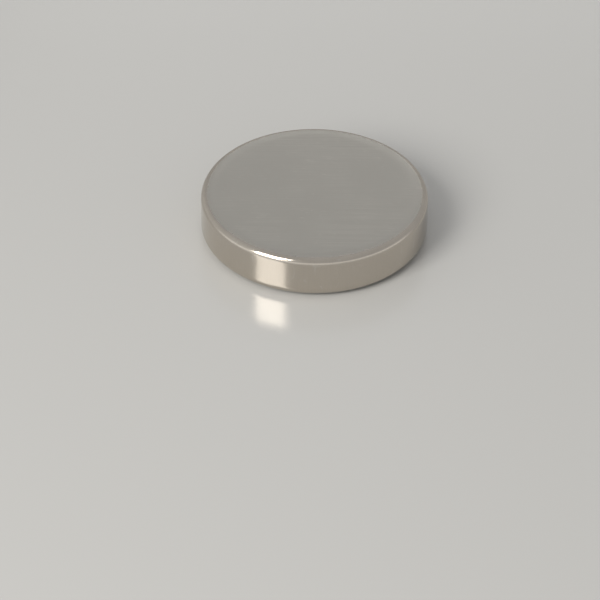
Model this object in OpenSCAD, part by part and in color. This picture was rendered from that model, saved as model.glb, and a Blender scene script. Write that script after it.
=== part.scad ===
// Lithium coin cell: a crimped steel case with its gasket, cathode, separator and anode.
// Sizes are in millimetres. Z is the axis, the negative face lies on z = 0, the positive face looks up.
// Every piece is a revolved section, drawn with x as the radius and y as the height.

/* [Cell] */
// Diameter over the positive can
cell_d = 24.5; // [20:0.1:30]
// Height from the negative face to the positive face
cell_h = 5; // [4.2:0.1:7]

/* [Positive can] */
// Thickness of the can sheet
can_t = 0.25; // [0.2:0.01:0.3]
// Outside radius of the drawn corner between the face and the wall
can_corner_r = 0.7; // [0.5:0.05:0.9]
// Width of the shallow roll at the rim of the face, outside its flat
face_roll_w = 1.2; // [0.8:0.1:1.5]
// Depth of that shallow roll where the corner takes over
face_roll_drop = 0.08; // [0.05:0.01:0.12]
// Outside radius of the crimped bend at the open end of the wall
crimp_r = 1; // [0.8:0.05:1.2]
// Width of the flat lip inside the crimped bend
lip_w = 0.4; // [0.2:0.05:0.6]
// Chamfer on the cut edge of the lip
lip_chamfer = 0.06; // [0.02:0.01:0.1]
// Distance from the negative face up to the lip
lip_recess = 0.12; // [0.08:0.01:0.2]

/* [Negative cap] */
// Thickness of the cap sheet
cap_t = 0.25; // [0.2:0.01:0.3]
// Outside radius of the corner round the terminal face
terminal_corner_r = 0.4; // [0.32:0.01:0.42]
// Radius of the hollow between the terminal step and the shoulder
step_fillet_r = 0.3; // [0.15:0.01:0.3]
// Outside radius of the bend from the shoulder into the wall
cap_bend_r = 0.5; // [0.35:0.01:0.6]
// Slit between the cap wall and its folded hem
hem_slit = 0.04; // [0.02:0.01:0.08]
// Distance from the bend of the wall to the cut edge of the hem
hem_edge_gap = 0.08; // [0.02:0.01:0.3]

/* [Gasket] */
// Thickness of the gasket between the can wall and the hem
gasket_t = 0.35; // [0.3:0.01:0.45]
// Thickness of the gasket between the fold of the hem and the can floor
gasket_foot_t = 0.4; // [0.3:0.01:0.5]
// Thickness of the inner lip of the gasket, inside the cap wall
gasket_lip_t = 0.3; // [0.2:0.01:0.4]
// Length of that inner lip, from the top of the hem downwards
gasket_lip_h = 1; // [0.5:0.1:1.4]
// Width of the gasket ring that shows inside the crimped lip
gasket_show_w = 0.3; // [0.15:0.01:0.4]
// Round on the edge of the gasket that shows
gasket_edge_r = 0.12; // [0.05:0.01:0.2]

/* [Cathode] */
// Gap between the inner lip of the gasket and the separator
separator_gap = 0.8; // [0.3:0.1:1.2]
// Gap between the separator and the cathode ring
ring_gap = 0.1; // [0.05:0.01:0.3]
// Thickness of the cathode ring sheet
ring_t = 0.15; // [0.1:0.01:0.2]
// Height of the edge of the cathode ring above the rim of the separator
ring_edge_gap = 0.15; // [0.1:0.01:0.8]
// Width of the foot of the cathode ring on the can floor
ring_foot_w = 1.3; // [0.8:0.1:2.5]
// Outside radius of the bend of the cathode ring
ring_bend_r = 0.3; // [0.22:0.01:0.4]
// Bevel on the free edge of the pressed pellet
pellet_bevel = 0.2; // [0.1:0.05:0.4]

/* [Separator and anode] */
// Thickness of the separator
separator_t = 0.25; // [0.15:0.01:0.35]
// Height of the separator with its raised rim
separator_h = 1.2; // [0.7:0.1:1.6]
// Outside radius of the bend of the separator
separator_bend_r = 0.4; // [0.36:0.01:0.6]
// Thickness of the lithium disc
lithium_t = 1.15; // [0.8:0.05:1.3]
// Gap between the lithium disc and the corner of the cap
lithium_gap = 0.5; // [0.2:0.05:1]
// Round on the edges of the lithium disc
lithium_edge_r = 0.12; // [0.05:0.01:0.25]

/* [Hidden] */
$fn = 72;

// A worked-out size to the nearest ten-thousandth, so that neighbouring arcs meet at one point
function snapped(size) = round(size * 10000) / 10000;

// Can: radii from the axis, heights from the negative face
can_r = cell_d / 2;
can_floor_z = cell_h - can_t;
lip_r = can_r - crimp_r - lip_w;
corner_x = can_r - can_corner_r;
corner_z = cell_h - face_roll_drop - can_corner_r;
face_flat_r = corner_x - face_roll_w;

// Radius of the roll that runs smoothly into the corner
face_roll_r = snapped(pow(face_roll_w, 2) / (2 * face_roll_drop) + can_corner_r + face_roll_drop / 2);
roll_z = cell_h - face_roll_r;

// Height inside the wall from which the face is built up
roll_base_z = corner_z - can_corner_r;

// Cap
hem_r = can_r - can_t - gasket_t;
cap_wall_r = hem_r - cap_t - hem_slit;
cap_in_r = cap_wall_r - cap_t;
shoulder_z = lip_recess + can_t + gasket_t;
gasket_mouth_r = lip_r - gasket_show_w;
terminal_r = gasket_mouth_r - step_fillet_r;
hem_edge_z = shoulder_z + cap_bend_r + hem_edge_gap;
hem_top_z = can_floor_z - gasket_foot_t;
fold_r = cap_t + hem_slit / 2;
fold_x = hem_r - fold_r;
fold_z = hem_top_z - fold_r;

// Inside, from the gasket inwards and from the cap upwards
gasket_lip_r = cap_in_r - gasket_lip_t;
gasket_lip_z = hem_top_z - gasket_lip_h;
separator_r = gasket_lip_r - separator_gap;
ring_r = separator_r - separator_t - ring_gap;
pellet_r = ring_r - ring_t;
ring_hole_r = ring_r - ring_foot_w;
lithium_r = terminal_r - terminal_corner_r - lithium_gap;
separator_z = cap_t + lithium_t;
ring_edge_z = separator_z + separator_h + ring_edge_gap;
ring_h = can_floor_z - ring_edge_z;
pellet_z = separator_z + separator_t;
pellet_h = can_floor_z - pellet_z;

// Colours
steel = [0.57, 0.56, 0.53];
cap_steel = [0.66, 0.66, 0.64];
ring_steel = [0.72, 0.72, 0.7];
natural_plastic = [0.82, 0.82, 0.78];
pressed_black = [0.12, 0.12, 0.13];
white_fibre = [0.93, 0.92, 0.88];
lithium_grey = [0.75, 0.76, 0.78];

// Section of a full cup that stands on y = 0, with its bottom corner rounded
module cup_form(r, depth, corner_r) {
    square([r - corner_r, depth]);
    translate([0, corner_r]) square([r, depth - corner_r]);
    translate([r - corner_r, corner_r]) intersection() {
        circle(corner_r);
        translate([0, -2 * corner_r]) square(2 * corner_r);
    }
}

// Section of a thin cup with one bend, such as a drawn or folded sheet
module sheet_cup(r, depth, corner_r, t) {
    difference() {
        cup_form(r, depth, corner_r);
        translate([0, t]) cup_form(r - t, depth, corner_r - t);
    }
}

// Part of a round disc between two radii from the axis, from inside the wall upwards
module arc_column(centre, r, from_x, to_x) {
    intersection() {
        translate(centre) circle(r, $fn = 360);
        translate([from_x, roll_base_z]) square([can_r, cell_h]);
        translate([0, roll_base_z]) square([to_x, cell_h]);
    }
}

// Form of the can at a depth below its outside: wall, crimped bend, corner, roll and face
module can_form(inset) {
    roll_end_x = snapped(
        corner_x + (can_corner_r - inset) * face_roll_w / (face_roll_r - can_corner_r)
    );
    translate([0, lip_recess + inset])
        cup_form(can_r - inset, corner_z - lip_recess - inset, crimp_r - inset);
    translate([0, roll_base_z]) square([face_flat_r, cell_h - inset - roll_base_z]);
    arc_column([face_flat_r, roll_z], face_roll_r - inset, face_flat_r, roll_end_x);
    arc_column([corner_x, corner_z], can_corner_r - inset, roll_end_x, cell_d);
}

// Form of the cap at a depth below its outside, up to a height: terminal, step, shoulder and wall
module cap_form(inset, top_z) {
    difference() {
        union() {
            translate([0, inset])
                cup_form(terminal_r - inset, shoulder_z + cap_t, terminal_corner_r - inset);
            translate([0, shoulder_z - step_fillet_r])
                square([gasket_mouth_r, step_fillet_r + inset]);
        }
        translate([gasket_mouth_r, shoulder_z - step_fillet_r]) circle(step_fillet_r + inset);
    }
    translate([0, shoulder_z + inset])
        cup_form(cap_wall_r - inset, top_z - shoulder_z - inset, cap_bend_r - inset);
}

// Drawn cup with its open end crimped inwards
module positive_can() {
    color(steel) rotate_extrude() difference() {
        can_form(0);
        can_form(can_t);
        polygon([
            [0, 0],
            [lip_r + lip_recess + lip_chamfer, 0],
            [lip_r, lip_recess + lip_chamfer],
            [lip_r, lip_recess + 2 * can_t],
            [0, lip_recess + 2 * can_t]
        ]);
    }
}

// Form of the hem, from the middle of the cap wall outwards, with its round fold on top
module hem_form() {
    translate([cap_wall_r - cap_t / 2, hem_edge_z])
        square([hem_r - cap_wall_r + cap_t / 2, fold_z - hem_edge_z]);
    translate([fold_x, fold_z]) circle(fold_r);
}

// Stepped cup whose wall is folded back on itself as a hem
module negative_cap() {
    color(cap_steel) rotate_extrude() difference() {
        union() {
            difference() {
                cap_form(0, fold_z);
                cap_form(cap_t, fold_z + cap_t);
            }
            hem_form();
        }
        translate([cap_wall_r, hem_edge_z - hem_slit])
            square([hem_slit, fold_z - hem_edge_z + hem_slit]);
        translate([fold_x, fold_z]) circle(hem_slit / 2);
    }
}

// Moulded ring that fills the crimped seam and grips the hem from both sides
module gasket() {
    color(natural_plastic) rotate_extrude() difference() {
        can_form(can_t);
        square([gasket_mouth_r, shoulder_z]);
        gasket_edge_cut();
        difference() {
            cap_form(0, fold_z);
            translate([gasket_lip_r, gasket_lip_z]) square([gasket_lip_t, gasket_lip_h]);
        }
        hem_form();
        translate([0, gasket_lip_z]) square([gasket_lip_r, cell_h]);
    }
}

// What the round on the visible edge takes off the corner of the gasket
module gasket_edge_cut() {
    translate([gasket_mouth_r, lip_recess + can_t]) difference() {
        translate([-gasket_edge_r, -gasket_edge_r]) square(2 * gasket_edge_r);
        translate([gasket_edge_r, gasket_edge_r]) circle(gasket_edge_r);
    }
}

// Bent ring that holds the edge of the pellet against the can
module cathode_ring() {
    color(ring_steel) rotate_extrude() difference() {
        translate([0, can_floor_z]) mirror([0, 1]) sheet_cup(ring_r, ring_h, ring_bend_r, ring_t);
        translate([0, ring_edge_z]) square([ring_hole_r, 2 * ring_h]);
    }
}

// Pressed tablet, recessed for the foot of the ring
module cathode_pellet() {
    color(pressed_black) rotate_extrude() difference() {
        union() {
            translate([0, can_floor_z - ring_t]) mirror([0, 1])
                cup_form(pellet_r, pellet_h - ring_t, ring_bend_r - ring_t);
            translate([0, can_floor_z - 2 * ring_t]) square([ring_hole_r, 2 * ring_t]);
        }
        polygon([
            [pellet_r - pellet_bevel, pellet_z],
            [pellet_r + pellet_bevel, pellet_z],
            [pellet_r + pellet_bevel, pellet_z + 2 * pellet_bevel]
        ]);
    }
}

// Fibre dish between the electrodes, with its rim raised round the pellet
module separator() {
    color(white_fibre) rotate_extrude() translate([0, separator_z])
        sheet_cup(separator_r, separator_h, separator_bend_r, separator_t);
}

// Punched disc of lithium on the floor of the cap
module lithium_disc() {
    color(lithium_grey) rotate_extrude() {
        translate([0, cap_t]) cup_form(lithium_r, lithium_t - lithium_edge_r, lithium_edge_r);
        translate([0, separator_z]) mirror([0, 1])
            cup_form(lithium_r, lithium_t - lithium_edge_r, lithium_edge_r);
    }
}

positive_can();
negative_cap();
gasket();
cathode_ring();
cathode_pellet();
separator();
lithium_disc();
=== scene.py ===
"""Lithium coin cell: the looks of its case and inner pieces, and a plain studio.

Sections are drawn in millimetres, with x as the radius and y as the height above the negative
face, and are revolved round the axis. Everything else is in metres.
"""
import math

import bpy
from mathutils import Matrix, Vector


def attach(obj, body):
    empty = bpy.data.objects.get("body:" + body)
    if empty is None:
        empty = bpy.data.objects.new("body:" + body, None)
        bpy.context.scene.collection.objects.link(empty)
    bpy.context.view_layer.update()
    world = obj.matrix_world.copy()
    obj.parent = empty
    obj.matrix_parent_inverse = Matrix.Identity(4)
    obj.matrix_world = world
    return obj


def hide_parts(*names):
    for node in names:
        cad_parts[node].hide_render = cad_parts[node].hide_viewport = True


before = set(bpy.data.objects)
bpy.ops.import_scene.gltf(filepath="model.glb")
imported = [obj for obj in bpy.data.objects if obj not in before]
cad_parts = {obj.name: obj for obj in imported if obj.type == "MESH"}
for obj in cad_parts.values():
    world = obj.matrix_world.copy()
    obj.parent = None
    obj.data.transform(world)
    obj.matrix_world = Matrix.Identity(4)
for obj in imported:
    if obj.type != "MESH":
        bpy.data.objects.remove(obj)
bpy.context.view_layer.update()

MM = 0.001

# Sizes of the cell, as in the part's source
CELL_H = 5.0
CAN_R = 12.25
CAN_T = 0.25
CAN_FLOOR = CELL_H - CAN_T
CORNER_R = 0.7
CORNER = (CAN_R - CORNER_R, 4.22)
ROLL_R = 9.74
ROLL = (10.35, CELL_H - ROLL_R)
ROLL_END_R = 11.6429
ROLL_END_ANGLE = math.degrees(math.acos((ROLL_END_R - ROLL[0]) / ROLL_R))
CRIMP_R = 1.0
CRIMP = (CAN_R - CRIMP_R, 1.12)
LIP_R = 10.85
LIP_Z = 0.12
LIP_CHAMFER = 0.06
CAP_T = 0.25
TERMINAL = (9.85, 0.4)
TERMINAL_CORNER_R = 0.4
STEP = (10.55, 0.42)
STEP_R = 0.3
SHOULDER_Z = 0.72
CAP_BEND = (10.86, 1.22)
CAP_BEND_R = 0.5
HEM_R = 11.65
HEM_EDGE_Z = 1.3
FOLD = (11.38, 4.08)
FOLD_R = 0.27
SLIT_R = 0.02
GASKET_LIP_R = 10.81
GASKET_LIP_Z = 3.35
GASKET_EDGE_R = 0.12
RING_R = 9.66
RING_T = 0.15
RING_EDGE_Z = 2.75
RING_HOLE_R = 8.36
RING_BEND = (9.36, 4.45)
PELLET_R = 9.51
PELLET_Z = 1.65
PELLET_BEVEL = 0.2
SEPARATOR_R = 10.01
SEPARATOR_T = 0.25
SEPARATOR_Z = 1.4
SEPARATOR_TOP = 2.6
SEPARATOR_BEND = (9.61, 1.8)
LITHIUM_R = 9.35
LITHIUM_EDGE_R = 0.12

# How the meshes are made
SAME_POINT = 1e-4
SHARP_ANGLE = math.radians(32)
WALL_WAVES = {"Wave Depth": 4e-6, "Waves Around": 5.0, "Waves Up": 0.25, "Seed": 7.0}


# Sections

def arc(centre, r, start, end, steps):
    """Points on a round from one angle to another, in degrees."""
    turns = [math.radians(start + (end - start) * i / steps) for i in range(steps + 1)]
    return [(centre[0] + r * math.cos(a), centre[1] + r * math.sin(a)) for a in turns]


def run(start, end, steps=6, guard=0.03):
    """Points on a straight line, with one close to each end so that its shading stays flat."""
    length = math.dist(start, end)
    near = min(guard / length, 0.2)
    between = [near + (1 - 2 * near) * i / steps for i in range(1, steps)]
    shares = [0, near] + between + [1 - near, 1]
    return [
        (start[0] + (end[0] - start[0]) * s, start[1] + (end[1] - start[1]) * s) for s in shares
    ]


def can_side(inset, from_angle=90.0, steps=14):
    """The can's face edge, corner, wall and bend, at a depth below its outside, from top to lip."""
    wall_x = CAN_R - inset
    return (
        arc(ROLL, ROLL_R - inset, from_angle, ROLL_END_ANGLE, steps)
        + arc(CORNER, CORNER_R - inset, ROLL_END_ANGLE, 0, steps)
        + run((wall_x, CORNER[1]), (wall_x, CRIMP[1]), 16)
        + arc(CRIMP, CRIMP_R - inset, 0, -90, 20)
    )


def can_section():
    """The can's whole outline: face, side, lip, and back along the inside."""
    return (
        run((0, CELL_H), (ROLL[0], CELL_H), 10)
        + can_side(0)
        + run((CRIMP[0], LIP_Z), (LIP_R + LIP_CHAMFER, LIP_Z), 2)
        + run((LIP_R, LIP_Z + LIP_CHAMFER), (LIP_R, LIP_Z + CAN_T), 2)
        + run((LIP_R, LIP_Z + CAN_T), (CRIMP[0], LIP_Z + CAN_T), 2)
        + can_side(CAN_T)[::-1]
        + run((ROLL[0], CAN_FLOOR), (0, CAN_FLOOR), 4)
    )


def cap_section():
    """The cap: its inside from the floor up, over the fold, down the hem and back up its slit."""
    inner_fillet_r = STEP_R + CAP_T
    return (
        run((0, CAP_T), (TERMINAL[0], CAP_T), 4)
        + arc(TERMINAL, TERMINAL_CORNER_R - CAP_T, -90, 0, 6)
        + arc(STEP, inner_fillet_r, 180, 90, 10)
        + run((STEP[0], SHOULDER_Z + CAP_T), (CAP_BEND[0], SHOULDER_Z + CAP_T), 2)
        + arc(CAP_BEND, CAP_BEND_R - CAP_T, -90, 0, 8)
        + run((FOLD[0] - FOLD_R, CAP_BEND[1]), (FOLD[0] - FOLD_R, FOLD[1]), 6)
        + arc(FOLD, FOLD_R, 180, 0, 20)
        + run((HEM_R, FOLD[1]), (HEM_R, HEM_EDGE_Z), 6)
        + run((HEM_R, HEM_EDGE_Z), (FOLD[0] + SLIT_R, HEM_EDGE_Z), 2)
        + run((FOLD[0] + SLIT_R, HEM_EDGE_Z), (FOLD[0] + SLIT_R, FOLD[1]), 6)
        + arc(FOLD, SLIT_R, 0, 180, 6)
        + run((FOLD[0] - SLIT_R, FOLD[1]), (FOLD[0] - SLIT_R, CAP_BEND[1]), 6)
        + arc(CAP_BEND, CAP_BEND_R, 0, -90, 12)
        + run((CAP_BEND[0], SHOULDER_Z), (STEP[0], SHOULDER_Z), 2)
        + arc(STEP, STEP_R, 90, 180, 10)
        + arc(TERMINAL, TERMINAL_CORNER_R, 0, -90, 14)
        + run((TERMINAL[0], 0), (0, 0), 10)
    )


def gasket_section():
    """The gasket fills what the can and the cap leave, and ends in a foot and an inner lip."""
    lip_angle = math.degrees(math.acos((GASKET_LIP_R - ROLL[0]) / (ROLL_R - CAN_T)))
    edge_centre = (STEP[0] + GASKET_EDGE_R, LIP_Z + CAN_T + GASKET_EDGE_R)
    wall_x = FOLD[0] - SLIT_R
    inner_x = FOLD[0] - FOLD_R
    outside = can_side(CAN_T, lip_angle, 10)
    return (
        outside
        + run((CRIMP[0], LIP_Z + CAN_T), (edge_centre[0], LIP_Z + CAN_T), 2)
        + arc(edge_centre, GASKET_EDGE_R, -90, -180, 8)
        + run((STEP[0], edge_centre[1]), (STEP[0], SHOULDER_Z), 2)
        + run((STEP[0], SHOULDER_Z), (CAP_BEND[0], SHOULDER_Z), 2)
        + arc(CAP_BEND, CAP_BEND_R, -90, 0, 12)
        + run((wall_x, CAP_BEND[1]), (wall_x, HEM_EDGE_Z), 2)
        + run((wall_x, HEM_EDGE_Z), (HEM_R, HEM_EDGE_Z), 2)
        + run((HEM_R, HEM_EDGE_Z), (HEM_R, FOLD[1]), 6)
        + arc(FOLD, FOLD_R, 0, 180, 20)
        + run((inner_x, FOLD[1]), (inner_x, GASKET_LIP_Z), 4)
        + run((inner_x, GASKET_LIP_Z), (GASKET_LIP_R, GASKET_LIP_Z), 2)
        + run((GASKET_LIP_R, GASKET_LIP_Z), outside[0], 4)
    )


def ring_section():
    """Bent strip that holds the edge of the pellet."""
    foot_z = CAN_FLOOR - RING_T
    inner_r = RING_R - RING_T
    return (
        run((RING_HOLE_R, CAN_FLOOR), (RING_BEND[0], CAN_FLOOR), 3)
        + arc(RING_BEND, RING_R - RING_BEND[0], 90, 0, 12)
        + run((RING_R, RING_BEND[1]), (RING_R, RING_EDGE_Z), 6)
        + run((RING_R, RING_EDGE_Z), (inner_r, RING_EDGE_Z), 1)
        + run((inner_r, RING_EDGE_Z), (inner_r, RING_BEND[1]), 6)
        + arc(RING_BEND, RING_R - RING_T - RING_BEND[0], 0, 90, 8)
        + run((RING_BEND[0], foot_z), (RING_HOLE_R, foot_z), 3)
        + run((RING_HOLE_R, foot_z), (RING_HOLE_R, CAN_FLOOR), 1)
    )


def pellet_section():
    """The pellet: its core stands up through the ring, and its lower edge is bevelled."""
    foot_z = CAN_FLOOR - RING_T
    return (
        run((0, CAN_FLOOR), (RING_HOLE_R, CAN_FLOOR), 8)
        + run((RING_HOLE_R, CAN_FLOOR), (RING_HOLE_R, foot_z), 1)
        + run((RING_HOLE_R, foot_z), (RING_BEND[0], foot_z), 2)
        + arc(RING_BEND, PELLET_R - RING_BEND[0], 90, 0, 8)
        + run((PELLET_R, RING_BEND[1]), (PELLET_R, PELLET_Z + PELLET_BEVEL), 8)
        + run((PELLET_R, PELLET_Z + PELLET_BEVEL), (PELLET_R - PELLET_BEVEL, PELLET_Z), 1)
        + run((PELLET_R - PELLET_BEVEL, PELLET_Z), (0, PELLET_Z), 8)
    )


def separator_section():
    """A flat dish with an upright rim."""
    rim_x = SEPARATOR_R - SEPARATOR_T
    top_z = SEPARATOR_Z + SEPARATOR_T
    bend_r = SEPARATOR_R - SEPARATOR_BEND[0]
    return (
        run((0, top_z), (SEPARATOR_BEND[0], top_z), 8)
        + arc(SEPARATOR_BEND, bend_r - SEPARATOR_T, -90, 0, 6)
        + run((rim_x, SEPARATOR_BEND[1]), (rim_x, SEPARATOR_TOP), 3)
        + run((rim_x, SEPARATOR_TOP), (SEPARATOR_R, SEPARATOR_TOP), 1)
        + run((SEPARATOR_R, SEPARATOR_TOP), (SEPARATOR_R, SEPARATOR_BEND[1]), 3)
        + arc(SEPARATOR_BEND, bend_r, 0, -90, 10)
        + run((SEPARATOR_BEND[0], SEPARATOR_Z), (0, SEPARATOR_Z), 8)
    )


def lithium_section():
    """A punched disc with its edges rounded."""
    edge_x = LITHIUM_R - LITHIUM_EDGE_R
    low, high = CAP_T + LITHIUM_EDGE_R, SEPARATOR_Z - LITHIUM_EDGE_R
    return (
        run((0, SEPARATOR_Z), (edge_x, SEPARATOR_Z), 8)
        + arc((edge_x, high), LITHIUM_EDGE_R, 90, 0, 6)
        + run((LITHIUM_R, high), (LITHIUM_R, low), 3)
        + arc((edge_x, low), LITHIUM_EDGE_R, 0, -90, 6)
        + run((edge_x, CAP_T), (0, CAP_T), 8)
    )


# Geometry Nodes: one tree revolves any section

class Tree:
    """Short calls for making and joining the nodes of one tree."""

    def __init__(self, tree):
        self.tree = tree

    def add(self, kind, inputs=(), **settings):
        """A node with settings, whose inputs are given by name or place as values or sockets."""
        node = self.tree.nodes.new(kind)
        for name, value in settings.items():
            setattr(node, name, value)
        for key, value in dict(inputs).items():
            if isinstance(value, bpy.types.NodeSocket):
                self.tree.links.new(value, node.inputs[key])
            else:
                node.inputs[key].default_value = value
        return node

    def math(self, operation, first, second=0.0, third=0.0):
        """One number from up to three."""
        node = self.add("ShaderNodeMath", {0: first, 1: second, 2: third}, operation=operation)
        return node.outputs[0]

    def vector_math(self, operation, first, second=(0, 0, 0)):
        node = self.add("ShaderNodeVectorMath", {0: first, 1: second}, operation=operation)
        return node.outputs[0]

    def scaled(self, vector, factor):
        node = self.add("ShaderNodeVectorMath", {0: vector, "Scale": factor}, operation="SCALE")
        return node.outputs[0]

    def combine(self, x, y, z):
        """A vector from its parts."""
        return self.add("ShaderNodeCombineXYZ", {"X": x, "Y": y, "Z": z}).outputs[0]

    def split(self, vector):
        return self.add("ShaderNodeSeparateXYZ", {0: vector}).outputs

    def noise(self, vector, scale, detail=2.0, rough=0.5, bend=0.0):
        """Smooth noise from 0 to 1, mostly near a half."""
        node = self.add(
            "ShaderNodeTexNoise",
            {"Vector": vector, "Scale": scale, "Detail": detail, "Roughness": rough,
             "Distortion": bend},
        )
        return node.outputs[0]

    def fit(self, value, low, high, to_low=0.0, to_high=1.0, smooth=True):
        """The value, taken from one range to another and held inside it."""
        node = self.add(
            "ShaderNodeMapRange",
            {"Value": value, "From Min": low, "From Max": high, "To Min": to_low,
             "To Max": to_high},
            interpolation_type="SMOOTHSTEP" if smooth else "LINEAR",
        )
        return node.outputs[0]

    def blend(self, factor, first, second):
        """One colour mixed into another."""
        node = self.add("ShaderNodeMix", data_type="RGBA")
        for socket, value in ((node.inputs[0], factor), (node.inputs[6], first),
                              (node.inputs[7], second)):
            if isinstance(value, bpy.types.NodeSocket):
                self.tree.links.new(value, socket)
            else:
                socket.default_value = value
        return node.outputs[2]


def socket(tree, name, kind, way="INPUT", value=None, low=None, high=None):
    """Gives a tree one named input or output."""
    made = tree.interface.new_socket(name, in_out=way, socket_type="NodeSocket" + kind)
    if value is not None:
        made.default_value = value
    if low is not None:
        made.min_value, made.max_value = low, high
    return made


def revolve_tree():
    """Revolves a section that lies in the XZ plane, and lets its marked points give a little."""
    tree = bpy.data.node_groups.new("Revolved section", "GeometryNodeTree")
    socket(tree, "Section", "Geometry")
    socket(tree, "Segments", "Int", value=360, low=3, high=1024)
    socket(tree, "Wave Depth", "Float", value=0.0, low=0.0, high=0.001)
    socket(tree, "Waves Around", "Float", value=6.0, low=0.0, high=100.0)
    socket(tree, "Waves Up", "Float", value=0.3, low=0.0, high=100.0)
    socket(tree, "Seed", "Float", value=1.0, low=0.0, high=1000.0)
    socket(tree, "Join Distance", "Float", value=1e-6, low=0.0, high=0.001)
    socket(tree, "Finish", "Material")
    socket(tree, "Piece", "Geometry", "OUTPUT")
    t = Tree(tree)
    given = t.add("NodeGroupInput").outputs
    count = t.add("GeometryNodeAttributeDomainSize", {0: given["Section"]}).outputs["Point Count"]
    columns = t.math("ADD", given["Segments"], 1.0)
    grid = t.add(
        "GeometryNodeMeshGrid",
        {"Size X": 1.0, "Size Y": 1.0, "Vertices X": columns, "Vertices Y": count},
    ).outputs["Mesh"]
    index = t.add("GeometryNodeInputIndex").outputs[0]
    row = t.math("FLOORED_MODULO", index, count)
    column = t.math("FLOOR", t.math("DIVIDE", t.math("ADD", index, 0.5), count))
    place = t.add("GeometryNodeInputPosition").outputs[0]
    point = t.add(
        "GeometryNodeSampleIndex",
        {"Geometry": given["Section"], "Value": place, "Index": row},
        data_type="FLOAT_VECTOR", domain="POINT",
    ).outputs[0]
    radius, _, height = t.split(point)
    give_here = t.add("GeometryNodeInputNamedAttribute", {"Name": "give"}, data_type="FLOAT")
    give = t.add(
        "GeometryNodeSampleIndex",
        {"Geometry": given["Section"], "Value": give_here.outputs[0], "Index": row},
        data_type="FLOAT", domain="POINT",
    ).outputs[0]
    turn = t.math("DIVIDE", t.math("MULTIPLY", column, 2 * math.pi), given["Segments"])
    way_x, way_y = t.math("COSINE", turn), t.math("SINE", turn)
    wave_point = t.combine(
        t.math("MULTIPLY", way_x, given["Waves Around"]),
        t.math("MULTIPLY", way_y, given["Waves Around"]),
        t.math("MULTIPLY_ADD", height, t.math("MULTIPLY", given["Waves Up"], 1000.0),
               given["Seed"]),
    )
    wave = t.noise(wave_point, 1.0, 2.0)
    depth = t.math("MULTIPLY", t.math("MULTIPLY", wave, give), given["Wave Depth"])
    outer = t.math("SUBTRACT", radius, depth)
    place_here = t.combine(
        t.math("MULTIPLY", outer, way_x), t.math("MULTIPLY", outer, way_y), height
    )
    wound = t.add("GeometryNodeSetPosition", {"Geometry": grid, "Position": place_here}).outputs[0]
    joined = t.add(
        "GeometryNodeMergeByDistance", {"Geometry": wound, "Distance": given["Join Distance"]}
    ).outputs[0]
    outward = t.add("GeometryNodeFlipFaces", {"Mesh": joined}).outputs[0]
    real = t.add("GeometryNodeRealizeInstances", {"Geometry": outward}).outputs[0]
    done = t.add("GeometryNodeSetMaterial", {"Geometry": real, "Material": given["Finish"]})
    t.add("NodeGroupOutput", {"Piece": done.outputs[0]})
    return tree


def set_inputs(modifier, values):
    """Sets a modifier's inputs by the identifiers of its tree's sockets."""
    for item in modifier.node_group.interface.items_tree:
        if item.item_type == "SOCKET" and item.in_out == "INPUT" and item.name in values:
            modifier[item.identifier] = values[item.name]


def revolved(name, section, tree, finish, segments=288, give=None, **waves):
    """One plain mesh piece from a section, with its hard edges kept sharp."""
    points = [section[0]]
    for point in section[1:]:
        if math.dist(point, points[-1]) > SAME_POINT:
            points.append(point)
    outline = bpy.data.meshes.new(name + "_section")
    outline.from_pydata(
        [(x * MM, 0, z * MM) for x, z in points],
        [(i, i + 1) for i in range(len(points) - 1)], [],
    )
    marks = outline.attributes.new("give", "FLOAT", "POINT")
    for mark, point in zip(marks.data, points):
        mark.value = give(*point) if give else 0.0
    form = bpy.data.objects.new(name + "_form", outline)
    bpy.context.scene.collection.objects.link(form)
    modifier = form.modifiers.new("Revolve", "NODES")
    modifier.node_group = tree
    set_inputs(modifier, {"Segments": segments, "Finish": finish, **waves})
    dressed = form.evaluated_get(bpy.context.evaluated_depsgraph_get())
    mesh = bpy.data.meshes.new_from_object(dressed)
    mesh.name = name
    form.modifiers.clear()
    bpy.data.objects.remove(form)
    mesh.shade_smooth()
    mesh.set_sharp_from_angle(angle=SHARP_ANGLE)
    piece = bpy.data.objects.new(name, mesh)
    bpy.context.scene.collection.objects.link(piece)
    return piece


# Finishes: effects that several materials share

def group(name, inputs, outputs):
    """A shader node group, its helper and its input sockets by name."""
    tree = bpy.data.node_groups.new(name, "ShaderNodeTree")
    for label, kind, value in inputs:
        socket(tree, label, kind, value=value)
    for label, kind in outputs:
        socket(tree, label, kind, "OUTPUT")
    t = Tree(tree)
    return tree, t, t.add("NodeGroupInput").outputs


def cell_places():
    """Place on the cell in millimetres: radius, height, direction from the axis."""
    tree, t, given = group(
        "Cell places",
        [("Point", "Vector", None)],
        [("Millimetres", "Vector"), ("Radius", "Float"), ("Height", "Float"), ("Around", "Vector")],
    )
    point = t.scaled(given["Point"], 1 / MM)
    x, y, z = t.split(point)
    flat = t.combine(x, y, 0.0)
    radius = t.add("ShaderNodeVectorMath", {0: flat}, operation="LENGTH").outputs["Value"]
    around = t.vector_math("NORMALIZE", flat)
    t.add(
        "NodeGroupOutput",
        {"Millimetres": point, "Radius": radius, "Height": z, "Around": around},
    )
    return tree


def rolling_grain():
    """Fine straight lines that the rolls leave in sheet, broken up along their length."""
    tree, t, given = group(
        "Rolling grain",
        [("Millimetres", "Vector", None), ("Lines", "Float", 7.0), ("Length", "Float", 0.12),
         ("Offset", "Float", 0.0)],
        [("Grain", "Float")],
    )
    x, y, z = t.split(given["Millimetres"])
    lines = t.combine(
        t.math("MULTIPLY", x, given["Length"]),
        t.math("MULTIPLY_ADD", y, given["Lines"], given["Offset"]),
        t.math("MULTIPLY", z, given["Lines"]),
    )
    wide = t.noise(lines, 1.0, 3.0, 0.6)
    t.add("NodeGroupOutput", {"Grain": wide})
    return tree


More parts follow.
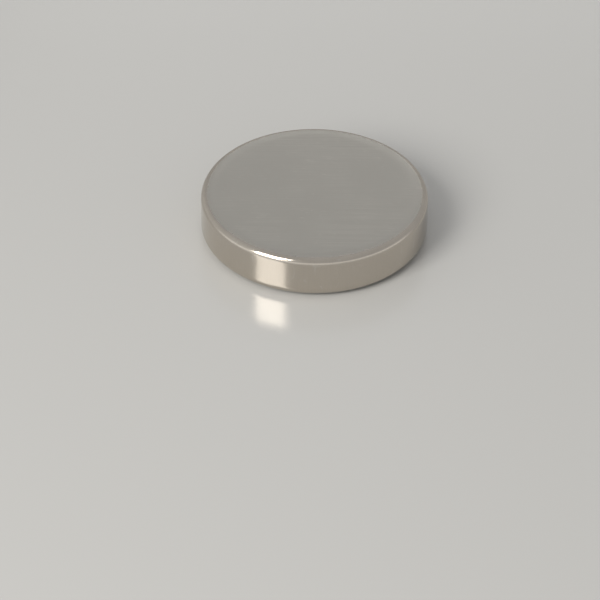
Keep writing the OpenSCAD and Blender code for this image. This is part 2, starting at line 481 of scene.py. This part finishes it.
def fine_scratches():
    """Thin random handling scratches in two directions."""
    tree, t, given = group(
        "Fine scratches",
        [("Millimetres", "Vector", None), ("Scale", "Float", 0.5), ("Amount", "Float", 0.5)],
        [("Scratch", "Float")],
    )
    line_width = 0.022
    masks = []
    for turn, stretch in ((0.6, 9.0), (2.2, 12.0)):
        turned = t.add(
            "ShaderNodeMapping",
            {"Vector": given["Millimetres"], "Rotation": (0, 0, turn), "Scale": (1, stretch, 1)},
        ).outputs[0]
        bent = t.noise(turned, given["Scale"], 1.0, 0.4, 0.6)
        line = t.math("ABSOLUTE", t.math("SUBTRACT", bent, 0.5))
        thin = t.fit(line, 0.0, line_width, 1.0, 0.0)
        place = t.fit(t.noise(given["Millimetres"], 0.35, 1.0, 0.5, turn), 0.5, 0.7)
        masks.append(t.math("MULTIPLY", thin, place))
    both = t.math("MAXIMUM", *masks)
    t.add("NodeGroupOutput", {"Scratch": t.math("MULTIPLY", both, given["Amount"])})
    return tree


def edge_rub():
    """A mask along one round edge, where handling rubs the sheet bright."""
    tree, t, given = group(
        "Edge rub",
        [("Millimetres", "Vector", None), ("Radius", "Float", 0.0), ("Height", "Float", 0.0),
         ("Edge Radius", "Float", 12.0), ("Edge Height", "Float", 4.8), ("Width", "Float", 0.3)],
        [("Rub", "Float")],
    )
    off = t.combine(
        t.math("SUBTRACT", given["Radius"], given["Edge Radius"]),
        t.math("SUBTRACT", given["Height"], given["Edge Height"]), 0.0,
    )
    gap = t.add("ShaderNodeVectorMath", {0: off}, operation="LENGTH").outputs["Value"]
    broken = t.noise(given["Millimetres"], 0.5, 2.0, 0.5)
    near = t.math("SUBTRACT", 1.0, t.math("DIVIDE", gap, given["Width"]))
    mask = t.math("MULTIPLY", t.fit(near, 0.0, 0.7), t.fit(broken, 0.3, 0.62))
    t.add("NodeGroupOutput", {"Rub": mask})
    return tree


def speckle():
    """Grains of two sizes, as in pressed powder, mould skin or a dull bloom."""
    tree, t, given = group(
        "Speckle",
        [("Millimetres", "Vector", None), ("Coarse", "Float", 2.0), ("Fine", "Float", 9.0)],
        [("Patch", "Float"), ("Grit", "Float")],
    )
    t.add(
        "NodeGroupOutput",
        {
            "Patch": t.noise(given["Millimetres"], given["Coarse"], 3.0, 0.55),
            "Grit": t.noise(given["Millimetres"], given["Fine"], 2.0, 0.6),
        },
    )
    return tree


EFFECTS = {
    "places": cell_places(),
    "grain": rolling_grain(),
    "scratches": fine_scratches(),
    "rub": edge_rub(),
    "speckle": speckle(),
}


class Finish(Tree):
    """A material with its Principled shader, and the place on the cell ready to use."""

    def __init__(self, name, **constants):
        self.material = bpy.data.materials.new(name)
        self.material.use_nodes = True
        super().__init__(self.material.node_tree)
        self.shader = self.tree.nodes["Principled BSDF"]
        for label, value in constants.items():
            self.shader.inputs[label.replace("_", " ")].default_value = value
        point = self.add("ShaderNodeTexCoord").outputs["Object"]
        self.here = self.effect("places", {"Point": point})
        self.mm = self.here["Millimetres"]
        self.radius, self.height = self.here["Radius"], self.here["Height"]

    def effect(self, name, inputs=()):
        """The outputs of one shared effect."""
        return self.add("ShaderNodeGroup", inputs, node_tree=EFFECTS[name]).outputs

    def rub(self, edge_radius, edge_height, width):
        """The rubbed mask along a round edge, given in millimetres."""
        return self.effect("rub", {
            "Millimetres": self.mm, "Radius": self.radius, "Height": self.height,
            "Edge Radius": edge_radius, "Edge Height": edge_height, "Width": width,
        })["Rub"]

    def done(self, colour, rough, height, depth):
        """Feeds the shader. The bump's depth is in metres for a height of one."""
        links = self.tree.links
        links.new(colour, self.shader.inputs["Base Color"])
        links.new(rough, self.shader.inputs["Roughness"])
        bump = self.add("ShaderNodeBump", {"Strength": 1.0, "Distance": depth, "Height": height})
        links.new(bump.outputs[0], self.shader.inputs["Normal"])
        return self.material


def shade(colour, factor):
    """A colour made lighter or darker."""
    return tuple(min(1.0, c * factor) for c in colour[:3]) + (1.0,)


def can_steel():
    """Nickel-plated can: a satin face, a wall drawn bright, and a burnished crimp."""
    f = Finish("can_steel", Metallic=1.0)
    face, bright = (0.515, 0.496, 0.456, 1), (0.55, 0.503, 0.442, 1)
    face_rough, wall_rough = 0.36, 0.09

    # Zones, as masks over spans of radius or height in millimetres
    wall = f.fit(f.radius, 11.5, 11.85)
    off_wall = f.math("SUBTRACT", 1.0, wall)
    outside = f.fit(f.radius, 11.3, 11.75)
    corner = f.math("MULTIPLY", f.fit(f.height, 4.15, 4.4), wall)
    roll = f.math("MULTIPLY", f.fit(f.radius, 10.2, 11.3), f.fit(f.height, 4.6, 4.8))
    burnish = f.math("MULTIPLY", f.fit(f.height, 1.5, 0.9), outside)
    rim = f.rub(11.8, 4.85, 0.5)

    # Marks: rolled lines on the face, drawn streaks on the wall, rings on the crimp, scratches
    grain = f.effect("grain", {"Millimetres": f.mm, "Lines": 6.0, "Length": 0.1})["Grain"]
    cloud = f.noise(f.mm, 0.16, 2.0)
    scratch = f.effect("scratches", {"Millimetres": f.mm, "Scale": 0.3, "Amount": 0.5})["Scratch"]
    streaks = f.combine(
        *[f.math("MULTIPLY", part, 160.0) for part in f.split(f.here["Around"])[:2]],
        f.math("MULTIPLY", f.height, 0.35),
    )
    drawn = f.noise(streaks, 1.0, 2.0, 0.6)
    rings = f.noise(f.combine(0.0, 0.0, f.height), 9.0, 2.0, 0.7)

    colour = f.blend(f.fit(cloud, 0.35, 0.65), shade(face, 0.97), shade(face, 1.03))
    colour = f.blend(f.fit(grain, 0.36, 0.66), colour, shade(face, 0.975))
    # Painted highlight: the roll band at the face's edge is made lighter in colour, standing in for
    # the sky light it reflects
    colour = f.blend(f.math("MULTIPLY", roll, 0.5), colour, shade(face, 1.06))
    drawn_colour = f.blend(f.fit(drawn, 0.3, 0.7), shade(bright, 0.97), bright)
    colour = f.blend(wall, colour, drawn_colour)
    colour = f.blend(f.math("MULTIPLY", rim, 0.5), colour, shade(bright, 1.08))
    colour = f.blend(scratch, colour, shade(face, 1.2))

    satin = f.math("MULTIPLY_ADD", f.math("SUBTRACT", grain, 0.5), 0.2, face_rough)
    satin = f.math("MULTIPLY_ADD", f.math("SUBTRACT", cloud, 0.5), 0.08, satin)
    polish = f.math("MULTIPLY_ADD", f.math("SUBTRACT", drawn, 0.5), 0.06, wall_rough)
    rough = f.math("ADD", f.math("MULTIPLY", satin, off_wall), f.math("MULTIPLY", polish, wall))
    for mask, change in ((roll, -0.04), (corner, 0.07), (rim, -0.02), (burnish, -0.04),
                         (scratch, 0.12)):
        rough = f.math("MULTIPLY_ADD", mask, change, rough)

    plain = f.math("MULTIPLY_ADD", roll, -0.8, 1.0)
    lift = f.math("MULTIPLY", f.math("MULTIPLY", grain, plain), off_wall)
    lift = f.math("MULTIPLY_ADD", f.math("MULTIPLY", drawn, wall), 0.12, lift)
    lift = f.math("MULTIPLY_ADD", f.math("MULTIPLY", rings, burnish), 0.8, lift)
    lift = f.math("MULTIPLY_ADD", scratch, -0.8, lift)
    return f.done(colour, rough, lift, depth=1.6e-6)


def cap_steel():
    """Nickel-plated cap: satin, with the edge of its contact face rubbed bright."""
    f = Finish("cap_steel", Metallic=1.0)
    plain, bright = (0.55, 0.54, 0.51, 1), (0.66, 0.65, 0.615, 1)
    grain = f.effect(
        "grain", {"Millimetres": f.mm, "Lines": 7.0, "Length": 0.14, "Offset": 40.0}
    )["Grain"]
    cloud = f.noise(f.mm, 0.22, 2.0)
    scratch = f.effect("scratches", {"Millimetres": f.mm, "Scale": 0.4, "Amount": 0.6})["Scratch"]
    edge = f.rub(10.12, 0.12, 0.4)
    colour = f.blend(f.fit(cloud, 0.35, 0.65), shade(plain, 0.98), shade(plain, 1.02))
    colour = f.blend(f.fit(grain, 0.36, 0.66), colour, shade(plain, 0.94))
    colour = f.blend(f.math("MULTIPLY", edge, 0.7), colour, bright)
    colour = f.blend(scratch, colour, bright)
    rough = f.math("MULTIPLY_ADD", f.math("SUBTRACT", grain, 0.5), 0.3, 0.32)
    rough = f.math("MULTIPLY_ADD", edge, -0.1, rough)
    rough = f.math("MULTIPLY_ADD", scratch, 0.12, rough)
    lift = f.math("MULTIPLY_ADD", scratch, -0.8, grain)
    return f.done(colour, rough, lift, depth=3e-6)


def gasket_plastic():
    """Natural moulded polypropylene, a little milky."""
    f = Finish("gasket_plastic", Subsurface_Weight=0.25, Subsurface_Scale=0.0004, IOR=1.49)
    base = (0.74, 0.735, 0.69, 1)
    spots = f.effect("speckle", {"Millimetres": f.mm, "Coarse": 0.6, "Fine": 12.0})
    colour = f.blend(f.fit(spots["Patch"], 0.3, 0.7), shade(base, 0.97), shade(base, 1.02))
    rough = f.math("MULTIPLY_ADD", spots["Grit"], 0.14, 0.36)
    return f.done(colour, rough, spots["Grit"], depth=2e-6)


def ring_steel():
    """Bright strip, bent, with its own grain."""
    f = Finish("ring_steel", Metallic=1.0)
    base = (0.62, 0.62, 0.6, 1)
    grain = f.effect(
        "grain", {"Millimetres": f.mm, "Lines": 8.0, "Length": 0.2, "Offset": 9.0}
    )["Grain"]
    bend = f.rub(9.6, 4.7, 0.3)
    colour = f.blend(grain, shade(base, 0.94), shade(base, 1.06))
    rough = f.math("MULTIPLY_ADD", grain, 0.14, 0.17)
    rough = f.math("MULTIPLY_ADD", bend, -0.06, rough)
    return f.done(colour, rough, grain, depth=1e-7)


def cathode_mix():
    """Pressed black powder: matt, grainy, with greyer rubbed edges."""
    f = Finish("cathode_mix", IOR=1.5)
    base = (0.018, 0.018, 0.02, 1)
    spots = f.effect("speckle", {"Millimetres": f.mm, "Coarse": 1.1, "Fine": 14.0})
    rubbed = f.rub(PELLET_R, PELLET_Z + PELLET_BEVEL, 0.5)
    colour = f.blend(f.fit(spots["Grit"], 0.45, 0.75), base, shade(base, 2.4))
    colour = f.blend(f.math("MULTIPLY", rubbed, 0.5), colour, (0.09, 0.09, 0.095, 1))
    rough = f.math("MULTIPLY_ADD", spots["Patch"], 0.25, 0.62)
    return f.done(colour, rough, spots["Grit"], depth=1.2e-5)


def separator_fibre():
    """White non-woven fibre: short crossing strands with soft patches between them."""
    f = Finish("separator_fibre", Sheen_Weight=0.25, Sheen_Roughness=0.6)
    base = (0.8, 0.785, 0.73, 1)
    spots = f.effect("speckle", {"Millimetres": f.mm, "Coarse": 0.8, "Fine": 7.0})
    strands = []
    for turn in (0.3, 1.4, 2.5):
        turned = f.add(
            "ShaderNodeMapping",
            {"Vector": f.mm, "Rotation": (0.4 * turn, 0.3, turn), "Scale": (1.0, 9.0, 9.0)},
        ).outputs[0]
        strands.append(f.fit(f.noise(turned, 1.3, 2.0, 0.5, 0.8), 0.52, 0.68))
    web = f.math("MAXIMUM", f.math("MAXIMUM", strands[0], strands[1]), strands[2])
    colour = f.blend(web, shade(base, 0.84), shade(base, 1.1))
    colour = f.blend(f.math("MULTIPLY", spots["Patch"], 0.3), colour, shade(base, 0.9))
    rough = f.math("MULTIPLY_ADD", web, -0.1, 0.92)
    return f.done(colour, rough, web, depth=2.2e-5)


def lithium_metal():
    """Soft silver metal, dulled in patches, with faint lines from rolling."""
    f = Finish("lithium_metal", Metallic=1.0)
    base = (0.58, 0.585, 0.6, 1)
    spots = f.effect("speckle", {"Millimetres": f.mm, "Coarse": 0.25, "Fine": 5.0})
    grain = f.effect(
        "grain", {"Millimetres": f.mm, "Lines": 3.0, "Length": 0.06, "Offset": 70.0}
    )["Grain"]
    bloom = f.fit(spots["Patch"], 0.38, 0.75)
    edge = f.rub(LITHIUM_R, SEPARATOR_Z, 0.35)
    colour = f.blend(bloom, base, (0.45, 0.455, 0.475, 1))
    colour = f.blend(f.math("MULTIPLY", edge, 0.6), colour, shade(base, 1.15))
    rough = f.math("MULTIPLY_ADD", bloom, 0.12, 0.38)
    rough = f.math("MULTIPLY_ADD", grain, 0.1, rough)
    lift = f.math("MULTIPLY_ADD", spots["Grit"], 0.6, grain)
    return f.done(colour, rough, lift, depth=2e-6)


# Pieces: each stands for its CAD node and keeps that node's form

def wall_give(x, z):
    """How far the can's points may move in: only the outside of the wall, not its ends."""
    on_wall = x > CAN_R - 0.01 and CRIMP[1] < z < CORNER[1]
    return math.sin(math.pi * (z - CRIMP[1]) / (CORNER[1] - CRIMP[1])) ** 0.5 if on_wall else 0.0


revolve = revolve_tree()
PIECES = [
    ("can", "positive_can", "can_steel", can_section(), can_steel(), 400),
    ("cap", "negative_cap", "cap_steel", cap_section(), cap_steel(), 320),
    ("seal", "gasket", "gasket_plastic", gasket_section(), gasket_plastic(), 320),
    ("ring", "cathode_ring", "ring_steel", ring_section(), ring_steel(), 256),
    ("tablet", "cathode_pellet", "cathode_mix", pellet_section(), cathode_mix(), 256),
    ("fibre_dish", "separator", "separator_fibre", separator_section(), separator_fibre(), 256),
    ("lithium", "lithium_disc", "lithium_metal", lithium_section(), lithium_metal(), 256),
]
for name, node, slot, section, finish, segments in PIECES:
    give = wall_give if node == "positive_can" else None
    piece = revolved(name, section, revolve, finish, segments, give, **WALL_WAVES)
    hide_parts(node)
    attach(piece, "root")


# Studio

FLOOR_COLOUR = (0.56, 0.555, 0.54, 1)
FLOOR_ROUGH = 0.19
FLOOR_SHEEN = 0.9
FLOOR_HALF = 1.5
FLOOR_Z = -0.00002

# Room light by where it comes from
OVERHEAD = (0.52, 0.52, 0.52, 1)
BACK = (0.42, 0.415, 0.405, 1)
FRONT = (0.50, 0.50, 0.495, 1)
LEFT = (0.60, 0.60, 0.59, 1)
RIGHT = (0.48, 0.48, 0.48, 1)
LOW_ROUND = (1.0, 1.0, 0.99, 1)

# Name, bearing and elevation in degrees, distance and size in metres, watts, colour
LAMPS = [
    ("tall_box", -44, 36, 0.5, (0.22, 0.28), 1.85, (1.0, 0.98, 0.94)),
    ("back_strip", 178, 29, 0.5, (0.16, 0.03), 0.021, (1.0, 1.0, 1.0)),
]

CAMERA_ELEVATION = math.radians(36.5)
CAMERA_DISTANCE = 0.5404
CAMERA_ROLL = math.radians(-0.64)
CAMERA_LENS, CAMERA_SENSOR = 300.0, 36.0
AIM_LEFT, AIM_DOWN = 1.43 * MM, 9.68 * MM


def floor_material():
    """Pale floor with a slight sheen, clear from below and where the cell covers it.

    This lets the underside be looked at with light on it.
    """
    material = bpy.data.materials.new("pale_floor")
    material.use_nodes = True
    t = Tree(material.node_tree)
    shader = t.tree.nodes["Principled BSDF"]
    shader.inputs["Base Color"].default_value = FLOOR_COLOUR
    shader.inputs["Roughness"].default_value = FLOOR_ROUGH
    shader.inputs["Specular IOR Level"].default_value = FLOOR_SHEEN
    clear = t.add("ShaderNodeBsdfTransparent").outputs[0]
    below = t.add("ShaderNodeNewGeometry").outputs["Backfacing"]
    place = t.add("ShaderNodeTexCoord").outputs["Object"]
    away = t.add("ShaderNodeVectorMath", {0: place}, operation="LENGTH").outputs["Value"]
    covered = t.math("LESS_THAN", away, STEP[0] * MM)
    unseen = t.math("MAXIMUM", below, covered)
    mixed = t.add("ShaderNodeMixShader", {0: unseen, 1: shader.outputs[0], 2: clear})
    t.tree.links.new(mixed.outputs[0], t.tree.nodes["Material Output"].inputs[0])
    return material


def make_floor():
    """A flat sheet just under the cell."""
    corners = [(-1, -1), (1, -1), (1, 1), (-1, 1)]
    mesh = bpy.data.meshes.new("floor")
    mesh.from_pydata(
        [(x * FLOOR_HALF, y * FLOOR_HALF, FLOOR_Z) for x, y in corners], [], [(0, 1, 2, 3)]
    )
    mesh.materials.append(floor_material())
    floor = bpy.data.objects.new("floor", mesh)
    bpy.context.scene.collection.objects.link(floor)


def make_world():
    """Soft room light: brightest low down at the left and front, and dimmer at the back."""
    world = bpy.data.worlds.new("studio")
    bpy.context.scene.world = world
    world.use_nodes = True
    t = Tree(world.node_tree)
    way = t.add("ShaderNodeTexCoord").outputs["Generated"]
    x, y, z = t.split(way)
    colour = t.blend(t.fit(z, 0.0, 0.95), BACK, OVERHEAD)
    colour = t.blend(t.fit(y, 0.3, -0.7), colour, FRONT)
    colour = t.blend(t.fit(x, -0.3, -0.8), colour, LEFT)
    colour = t.blend(t.fit(x, 0.3, 0.8), colour, RIGHT)
    low = t.math("MULTIPLY", t.fit(y, 0.35, -0.1), t.fit(z, 0.5, 0.1))
    low = t.math("MULTIPLY", low, t.fit(x, 0.7, -0.7, 0.7, 1.0))
    colour = t.blend(low, colour, LOW_ROUND)
    back = t.tree.nodes["Background"]
    t.tree.links.new(colour, back.inputs["Color"])
    back.inputs["Strength"].default_value = 1.0


def make_lamp(name, bearing, elevation, distance, size, watts, colour):
    """A soft box that faces the cell. Bearing 0 is the camera's side, 90 its right."""
    lamp = bpy.data.lights.new(name, "AREA")
    lamp.shape = "RECTANGLE"
    lamp.size, lamp.size_y = size
    lamp.energy = watts
    lamp.color = colour
    box = bpy.data.objects.new(name, lamp)
    b, e = math.radians(bearing), math.radians(elevation)
    way = Vector((math.sin(b) * math.cos(e), -math.cos(b) * math.cos(e), math.sin(e)))
    box.location = way * distance
    box.rotation_euler = way.to_track_quat("Z", "Y").to_euler()
    bpy.context.scene.collection.objects.link(box)


def make_camera():
    """Long lens above the table, aimed so that the cell is above the middle of the frame."""
    centre = Vector((0, 0, CELL_H / 2 * MM))
    back = Vector((0, -math.cos(CAMERA_ELEVATION), math.sin(CAMERA_ELEVATION)))
    upward = Vector((0, math.sin(CAMERA_ELEVATION), math.cos(CAMERA_ELEVATION)))
    data = bpy.data.cameras.new("camera")
    data.lens, data.sensor_width = CAMERA_LENS, CAMERA_SENSOR
    data.clip_start, data.clip_end = 0.01, 10.0
    camera = bpy.data.objects.new("camera", data)
    camera.location = centre + back * CAMERA_DISTANCE
    aim = centre - Vector((AIM_LEFT, 0, 0)) - upward * AIM_DOWN
    look = (aim - camera.location).to_track_quat("-Z", "Y").to_matrix().to_4x4()
    turned = look @ Matrix.Rotation(-CAMERA_ROLL, 4, "Z")
    camera.matrix_world = Matrix.Translation(camera.location) @ turned
    bpy.context.scene.collection.objects.link(camera)
    bpy.context.scene.camera = camera


make_floor()
make_world()
for lamp in LAMPS:
    make_lamp(*lamp)
make_camera()
bpy.context.scene.view_settings.view_transform = "Standard"
